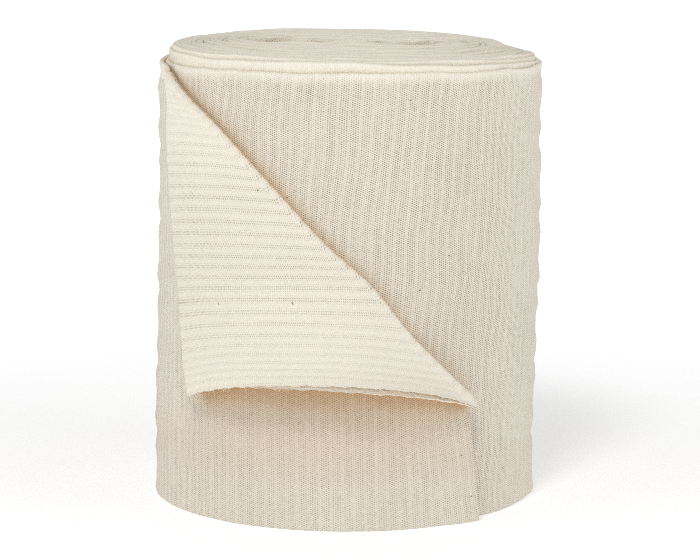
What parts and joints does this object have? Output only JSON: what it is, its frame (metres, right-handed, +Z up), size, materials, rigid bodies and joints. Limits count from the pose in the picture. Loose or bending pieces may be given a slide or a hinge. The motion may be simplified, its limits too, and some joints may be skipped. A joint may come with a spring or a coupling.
{
  "type": "tubular bandage roll",
  "caption": "Standing coreless roll of flattened knitted elastic tube bandage, its loose outer end folded down across the front, for cutting to length and pulling over a limb.",
  "frame": {"origin": "on the floor, under the middle of the object's box", "axes": "+Z up along the roll, the loose end and its folded corner towards -Y, +X to the right as seen from there"},
  "size_m": [0.1538, 0.1658, 0.1815],
  "materials": {
    "wound_knit": "matt unbleached knitted cotton with laid-in elastic ribs",
    "loose_knit": "matt unbleached knitted cotton with laid-in elastic ribs"
  },
  "bodies": {
    "root": {"wound_roll": "wound_knit", "loose_end": "loose_knit"}
  },
  "joints": []
}
